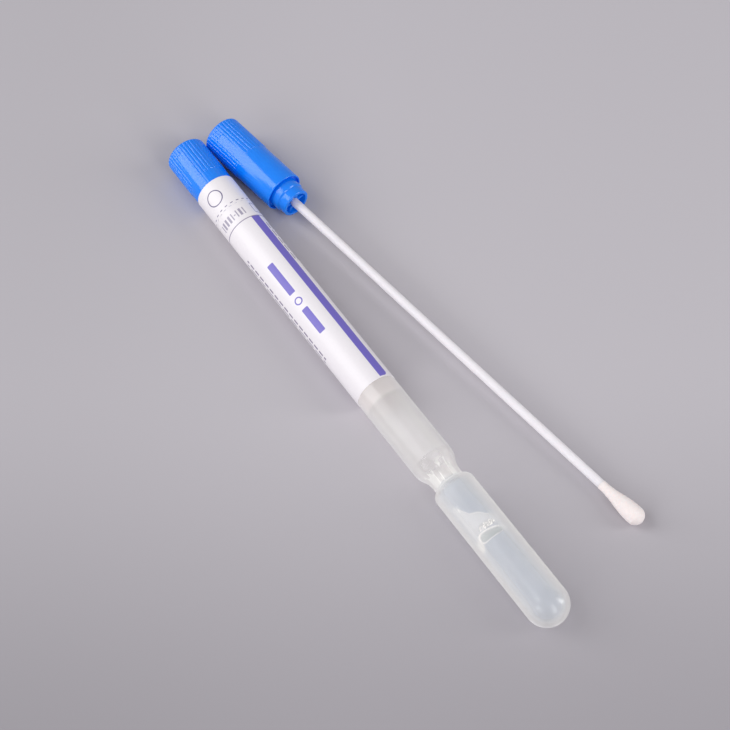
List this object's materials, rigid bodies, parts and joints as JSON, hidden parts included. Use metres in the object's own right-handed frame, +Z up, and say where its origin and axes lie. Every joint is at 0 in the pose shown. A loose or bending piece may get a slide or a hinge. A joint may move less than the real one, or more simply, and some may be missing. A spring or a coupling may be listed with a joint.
{
  "type": "specimen swab tube",
  "caption": "Transport tube with a narrowed neck, gel medium, wrap label and pull-off cap, lying beside its capped swab stick with a fibre bud.",
  "frame": {"origin": "centre of the kit's bounding box on the surface that it lies on", "axes": "+X along the tube from its cap to its round end, +Y towards the swab that lies beside it, +Z up"},
  "size_m": [0.1824, 0.044, 0.0127],
  "materials": {
    "natural_polypropylene": "translucent, glossy",
    "gel_medium": "cloudy wet gel",
    "blue_cap_plastic": "glossy moulded",
    "label_film": "satin film with plain printed bands",
    "white_stick": "satin moulded",
    "bud_fibre": "wound fibre"
  },
  "bodies": {
    "tube_and_swab": {"tube": "natural_polypropylene", "transport_medium": "gel_medium", "label": "label_film", "swab_cap": "blue_cap_plastic", "swab_shaft": "white_stick", "swab_bud": "bud_fibre"},
    "storage_cap": {"tube_cap": "blue_cap_plastic", "seal_band": "label_film"}
  },
  "joints": [
    {"name": "cap_pull", "type": "slide", "parent": "tube_and_swab", "child": "storage_cap", "axis": [-1, 0, 0], "range_m": [0, 0.025]}
  ]
}
